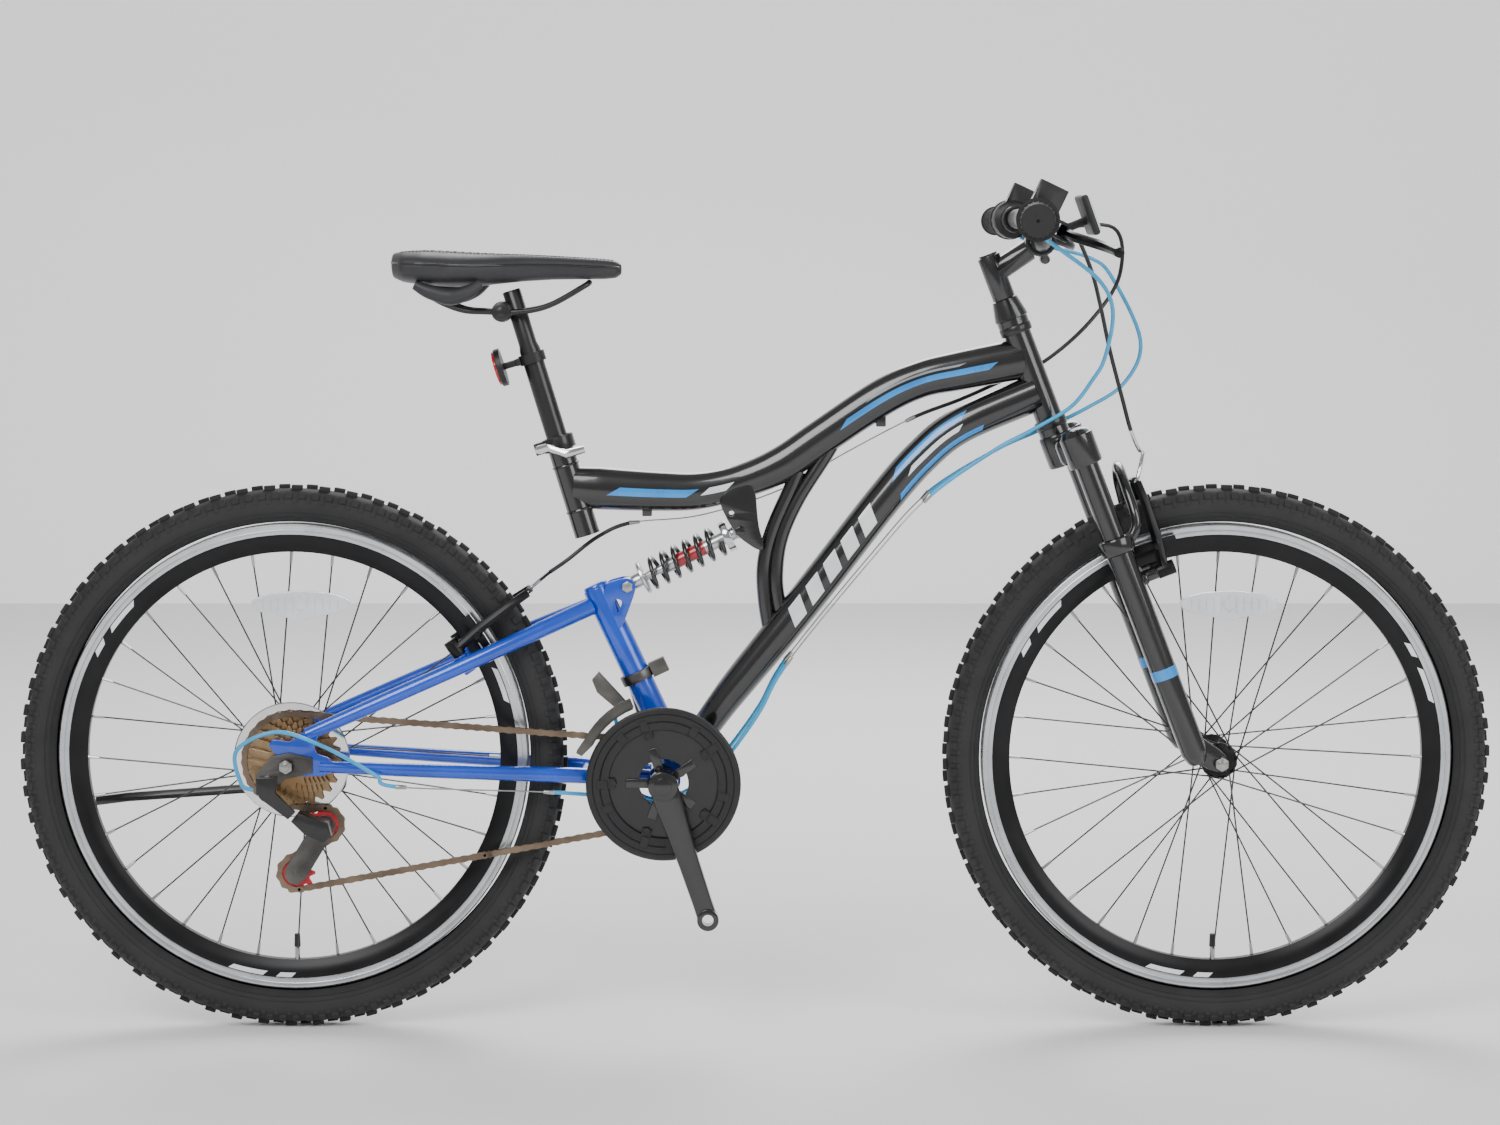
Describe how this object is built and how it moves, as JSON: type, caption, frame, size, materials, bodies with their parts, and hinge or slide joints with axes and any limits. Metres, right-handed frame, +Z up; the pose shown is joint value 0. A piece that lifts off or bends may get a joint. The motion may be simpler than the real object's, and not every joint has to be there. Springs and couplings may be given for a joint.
{
  "type": "mountain bike",
  "caption": "Full-suspension mountain bike with a swept black main frame, blue swingarm, coil shock, suspension fork and rim brakes.",
  "frame": {"origin": "on the ground under the middle of the bike, in its middle plane", "axes": "+X forward, +Y to the rider's left, +Z up"},
  "size_m": [1.782, 0.6522, 1.0267],
  "materials": {
    "black_paint": "gloss",
    "black_plastic": "satin",
    "black_steel": "satin",
    "blue_paint": "gloss",
    "cable_black": "gloss",
    "cable_blue": "gloss",
    "chain_steel": "satin",
    "dark_zinc": "satin",
    "grip_rubber": "matt",
    "red_plastic": "gloss",
    "reflector_plastic": "gloss",
    "rim_alloy": "satin",
    "saddle_vinyl": "satin",
    "tyre_rubber": "matt",
    "zinc_steel": "satin"
  },
  "bodies": {
    "frame": {"main_frame": "black_paint", "seat_clamp_collar": "black_steel", "rear_brake_cable": "cable_black", "front_shift_cable": "cable_blue"},
    "seat_lever": {"seat_clamp_lever": "zinc_steel"},
    "seatpost_body": {"seatpost": "rim_alloy", "rear_reflector": "red_plastic"},
    "saddle_body": {"saddle": "saddle_vinyl", "saddle_rails": "black_steel"},
    "steering_body": {"fork_crown": "black_paint", "stem": "black_paint", "handlebar": "black_steel", "grip_right": "grip_rubber", "grip_left": "grip_rubber", "brake_bracket_right": "black_plastic", "brake_bracket_left": "black_plastic", "front_reflector": "reflector_plastic", "front_brake_cable": "cable_black"},
    "twist_right": {"twist_grip_right": "grip_rubber"},
    "twist_left": {"twist_grip_left": "grip_rubber"},
    "lever_right": {"brake_lever_right": "black_steel"},
    "lever_left": {"brake_lever_left": "black_steel"},
    "lowers": {"fork_lowers": "black_paint", "front_axle": "zinc_steel"},
    "front_wheel": {"front_tyre": "tyre_rubber", "front_rim": "rim_alloy", "front_spokes_right": "black_steel", "front_spokes_left": "black_steel", "front_hub": "black_steel"},
    "front_arm_right": {"front_brake_arm_right": "black_steel"},
    "front_arm_left": {"front_brake_arm_left": "black_steel"},
    "swing": {"swingarm": "blue_paint", "bottom_bracket": "black_steel", "rear_axle": "zinc_steel", "front_derailleur_clamp": "dark_zinc", "derailleur_hanger": "dark_zinc", "derailleur_links": "black_steel", "chain": "chain_steel", "rear_shift_cable": "cable_blue"},
    "rear_arm_right": {"rear_brake_arm_right": "black_steel"},
    "rear_arm_left": {"rear_brake_arm_left": "black_steel"},
    "rear_wheel": {"rear_tyre": "tyre_rubber", "rear_rim": "rim_alloy", "rear_spokes_right": "black_steel", "rear_spokes_left": "black_steel", "rear_hub": "black_steel"},
    "freewheel_body": {"freewheel": "chain_steel"},
    "crankset": {"crank_right": "black_paint", "crank_left": "black_paint", "chainrings": "black_steel", "chain_guard": "black_plastic"},
    "front_mech": {"front_derailleur_cage": "dark_zinc"},
    "rear_mech": {"derailleur_knuckle": "black_steel"},
    "rear_mech_cage": {"derailleur_cage": "dark_zinc"},
    "guide": {"guide_pulley": "red_plastic"},
    "tension": {"tension_pulley": "red_plastic"},
    "shock_upper": {"shock_body": "black_steel"},
    "shock_lower": {"shock_rod": "rim_alloy", "shock_spring": "black_paint"},
    "stand": {"kickstand_leg": "black_steel"}
  },
  "joints": [
    {"name": "steering", "type": "hinge", "parent": "frame", "child": "steering_body", "pos_m": [0.35698, 0, 0.73411], "axis": [-0.3584, 0, 0.9336], "range_deg": [-60, 60], "deforming": ["rear_brake_cable", "rear_shift_cable", "front_shift_cable"]},
    {"name": "fork_travel", "type": "slide", "parent": "steering_body", "child": "lowers", "axis": [-0.3584, 0, 0.9336], "range_m": [0, 0.04], "stiffness_N_per_m": 8000, "springref_m": -0.01, "deforming": ["front_brake_cable"]},
    {"name": "front_wheel_spin", "type": "hinge", "parent": "lowers", "child": "front_wheel", "pos_m": [0.559, 0, 0.332], "axis": [0, 1, 0], "continuous": true},
    {"name": "swingarm_pivot", "type": "hinge", "parent": "frame", "child": "swing", "pos_m": [-0.0697, 0, 0.3541], "axis": [0, 1, 0], "range_deg": [0, 7], "stiffness_Nm_per_rad": 4000, "springref_deg": -1.15},
    {"name": "shock_turn", "type": "hinge", "parent": "frame", "child": "shock_upper", "pos_m": [-0.018, 0, 0.6078], "axis": [0, 1, 0], "range_deg": [-3, 3]},
    {"name": "shock_stroke", "type": "slide", "parent": "shock_upper", "child": "shock_lower", "axis": [0.8965, 0, 0.443], "range_m": [0, 0.028], "deforming": ["shock_spring"]},
    {"name": "crank_spin", "type": "hinge", "parent": "swing", "child": "crankset", "pos_m": [-0.1098, 0, 0.308], "axis": [0, 1, 0], "continuous": true, "deforming": ["chain"]},
    {"name": "freewheel_spin", "type": "hinge", "parent": "swing", "child": "freewheel_body", "pos_m": [-0.559, 0, 0.332], "axis": [0, 1, 0], "continuous": true},
    {"name": "rear_wheel_spin", "type": "hinge", "parent": "swing", "child": "rear_wheel", "pos_m": [-0.559, 0, 0.332], "axis": [0, 1, 0], "continuous": true},
    {"name": "front_shift", "type": "slide", "parent": "swing", "child": "front_mech", "axis": [0, -1, 0], "range_m": [0, 0.015]},
    {"name": "rear_shift", "type": "slide", "parent": "swing", "child": "rear_mech", "axis": [0, -1, 0], "range_m": [0, 0.028], "deforming": ["derailleur_links"]},
    {"name": "cage_pivot", "type": "hinge", "parent": "rear_mech", "child": "rear_mech_cage", "pos_m": [-0.5189, 0, 0.2537], "axis": [0, 1, 0], "range_deg": [-15, 15]},
    {"name": "guide_spin", "type": "hinge", "parent": "rear_mech_cage", "child": "guide", "pos_m": [-0.5189, 0, 0.2537], "axis": [0, 1, 0], "continuous": true},
    {"name": "tension_spin", "type": "hinge", "parent": "rear_mech_cage", "child": "tension", "pos_m": [-0.5551, 0, 0.1945], "axis": [0, 1, 0], "continuous": true},
    {"name": "kickstand", "type": "hinge", "parent": "swing", "child": "stand", "pos_m": [-0.52, 0.085, 0.285], "axis": [0, 1, 0], "range_deg": [-70, 0]},
    {"name": "seatpost_height", "type": "slide", "parent": "frame", "child": "seatpost_body", "axis": [-0.2924, 0, 0.9563], "range_m": [-0.03, 0.04]},
    {"name": "saddle_tilt", "type": "hinge", "parent": "seatpost_body", "child": "saddle_body", "pos_m": [-0.3024, 0, 0.8709], "axis": [0, 1, 0], "range_deg": [-8, 8]},
    {"name": "seat_lever", "type": "hinge", "parent": "frame", "child": "seat_lever", "pos_m": [-0.25897, -0.021, 0.70621], "axis": [-0.2924, 0, 0.9563], "range_deg": [-100, 0]},
    {"name": "brake_lever_right", "type": "hinge", "parent": "steering_body", "child": "lever_right", "pos_m": [0.35487, -0.16413, 0.96626], "axis": [0.4311, 0, 0.9023], "range_deg": [0, 14], "stiffness_Nm_per_rad": 1, "springref_deg": -5.73},
    {"name": "twist_right", "type": "hinge", "parent": "steering_body", "child": "twist_right", "pos_m": [0.31896, -0.2259, 0.98016], "axis": [0.0843, 0.9964, 0.0123], "range_deg": [0, 80]},
    {"name": "brake_lever_left", "type": "hinge", "parent": "steering_body", "child": "lever_left", "pos_m": [0.35487, 0.16413, 0.96626], "axis": [0.4311, 0, 0.9023], "range_deg": [-14, 0], "stiffness_Nm_per_rad": 1, "springref_deg": 5.73},
    {"name": "twist_left", "type": "hinge", "parent": "steering_body", "child": "twist_left", "pos_m": [0.31896, 0.2259, 0.98016], "axis": [-0.0843, 0.9964, -0.0123], "range_deg": [0, 80]},
    {"name": "front_arm_right", "type": "hinge", "parent": "lowers", "child": "front_arm_right", "pos_m": [0.48868, -0.0405, 0.56401], "axis": [0.9336, 0, 0.3584], "range_deg": [-3.6, 0]},
    {"name": "rear_arm_right", "type": "hinge", "parent": "swing", "child": "rear_arm_right", "pos_m": [-0.35837, -0.0405, 0.46732], "axis": [-0.5592, 0, 0.829], "range_deg": [0, 3.6]},
    {"name": "front_arm_left", "type": "hinge", "parent": "lowers", "child": "front_arm_left", "pos_m": [0.48868, 0.0405, 0.56401], "axis": [0.9336, 0, 0.3584], "range_deg": [0, 3.6]},
    {"name": "rear_arm_left", "type": "hinge", "parent": "swing", "child": "rear_arm_left", "pos_m": [-0.35837, 0.0405, 0.46732], "axis": [-0.5592, 0, 0.829], "range_deg": [-3.6, 0]}
  ],
  "couplings": [
    {"joint": "shock_turn", "follows": "swingarm_pivot", "ratio": -0.0989},
    {"joint": "shock_stroke", "follows": "swingarm_pivot", "m_per_rad": 0.20415},
    {"joint": "freewheel_spin", "follows": "crank_spin", "ratio": 0.85714},
    {"joint": "guide_spin", "follows": "crank_spin", "ratio": -2.4},
    {"joint": "tension_spin", "follows": "crank_spin", "ratio": 2.4},
    {"joint": "front_arm_right", "follows": "brake_lever_right", "ratio": -0.25714},
    {"joint": "front_arm_left", "follows": "brake_lever_right", "ratio": 0.25714},
    {"joint": "rear_arm_right", "follows": "brake_lever_left", "ratio": -0.25714},
    {"joint": "rear_arm_left", "follows": "brake_lever_left", "ratio": 0.25714},
    {"joint": "twist_right", "follows": "rear_shift", "rad_per_m": 49.817},
    {"joint": "twist_left", "follows": "front_shift", "rad_per_m": 92.991}
  ]
}
